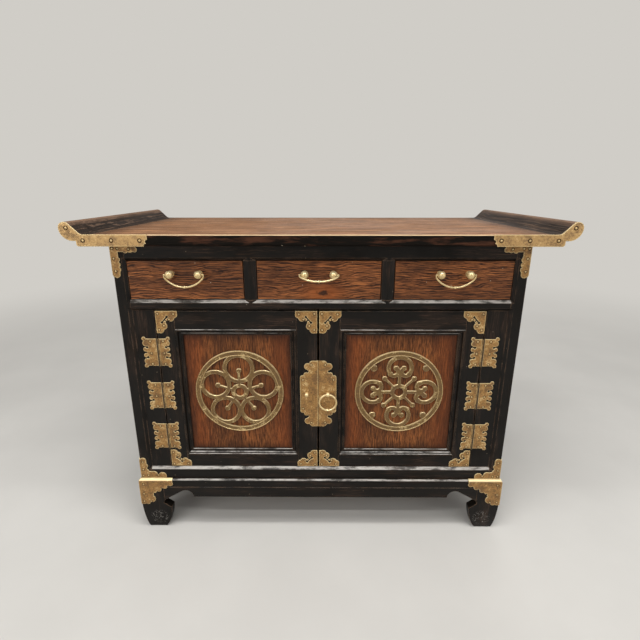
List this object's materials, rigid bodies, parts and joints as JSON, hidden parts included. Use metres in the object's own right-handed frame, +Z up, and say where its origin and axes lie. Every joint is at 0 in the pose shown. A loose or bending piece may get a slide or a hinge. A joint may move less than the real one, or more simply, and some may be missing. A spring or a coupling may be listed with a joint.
{
  "type": "chinese cabinet",
  "caption": "Lacquered sideboard cabinet on a stand with everted top, drawers over two doors, brass medallions and pulls.",
  "frame": {"origin": "on the floor, under the middle of the whole piece", "axes": "+X to the viewer's right along the front, -Y out of the front, +Z up"},
  "size_m": [1.05, 0.52, 0.7749],
  "materials": {
    "lacquer": "worn dark lacquer",
    "warm_wood": "worn reddish brown, open grain",
    "plain_wood": "bare wood",
    "brass": "aged, matt"
  },
  "bodies": {
    "cabinet": {"top_end_left": "lacquer", "top_end_right": "lacquer", "front_post_left": "lacquer", "front_post_right": "lacquer", "rear_post_left": "lacquer", "rear_post_right": "lacquer", "top_rail": "lacquer", "middle_rail": "lacquer", "bottom_rail": "lacquer", "divider_left": "lacquer", "divider_right": "lacquer", "hinge_stiles": "lacquer", "side_left": "lacquer", "side_right": "lacquer", "stand_frame": "lacquer", "apron_front": "lacquer", "apron_back": "lacquer", "side_aprons": "lacquer", "leg_front_left": "lacquer", "leg_front_right": "lacquer", "leg_rear_left": "lacquer", "leg_rear_right": "lacquer", "top_panel": "warm_wood", "case_back": "plain_wood", "floor_board": "plain_wood", "dust_board": "plain_wood", "drawer_guides": "plain_wood", "top_straps": "brass", "corner_brasses": "brass", "case_hinge_leaves": "brass", "hinge_pins": "brass"},
    "left_door": {"left_door_frame": "lacquer", "left_door_moulding": "lacquer", "left_door_panel": "warm_wood", "left_medallion": "brass", "left_door_corners": "brass", "left_hinge_leaves": "brass", "left_lock_plate": "brass", "left_eye_post": "brass"},
    "right_door": {"right_door_frame": "lacquer", "right_door_moulding": "lacquer", "right_door_panel": "warm_wood", "right_medallion": "brass", "right_door_corners": "brass", "right_hinge_leaves": "brass", "right_lock_plate": "brass", "right_eye_post": "brass"},
    "ring": {"ring_pull": "brass"},
    "left_drawer": {"left_drawer_front": "warm_wood", "left_drawer_box": "plain_wood", "left_pull_posts": "brass"},
    "left_pull": {"left_bail": "brass"},
    "middle_drawer": {"middle_drawer_front": "warm_wood", "middle_drawer_box": "plain_wood", "middle_pull_posts": "brass"},
    "middle_pull": {"middle_bail": "brass"},
    "right_drawer": {"right_drawer_front": "warm_wood", "right_drawer_box": "plain_wood", "right_pull_posts": "brass"},
    "right_pull": {"right_bail": "brass"}
  },
  "joints": [
    {"name": "left_door_hinge", "type": "hinge", "parent": "cabinet", "child": "left_door", "pos_m": [-0.369, -0.2167, 0.3715], "axis": [0, 0, -1], "range_deg": [0, 120]},
    {"name": "right_door_hinge", "type": "hinge", "parent": "cabinet", "child": "right_door", "pos_m": [0.369, -0.2167, 0.3715], "axis": [0, 0, 1], "range_deg": [0, 120]},
    {"name": "ring_swing", "type": "hinge", "parent": "right_door", "child": "ring", "pos_m": [0.018, -0.2246, 0.378], "axis": [-1, 0, 0], "range_deg": [-8, 110]},
    {"name": "left_drawer_slide", "type": "slide", "parent": "cabinet", "child": "left_drawer", "axis": [0, -1, 0], "range_m": [0, 0.3]},
    {"name": "left_bail_swing", "type": "hinge", "parent": "left_drawer", "child": "left_pull", "pos_m": [-0.292, -0.228, 0.662], "axis": [-1, 0, 0], "range_deg": [-20, 100]},
    {"name": "middle_drawer_slide", "type": "slide", "parent": "cabinet", "child": "middle_drawer", "axis": [0, -1, 0], "range_m": [0, 0.3]},
    {"name": "middle_bail_swing", "type": "hinge", "parent": "middle_drawer", "child": "middle_pull", "pos_m": [-0.0025, -0.228, 0.662], "axis": [-1, 0, 0], "range_deg": [-90, 30]},
    {"name": "right_drawer_slide", "type": "slide", "parent": "cabinet", "child": "right_drawer", "axis": [0, -1, 0], "range_m": [0, 0.3]},
    {"name": "right_bail_swing", "type": "hinge", "parent": "right_drawer", "child": "right_pull", "pos_m": [0.2895, -0.228, 0.662], "axis": [-1, 0, 0], "range_deg": [-20, 100]}
  ]
}
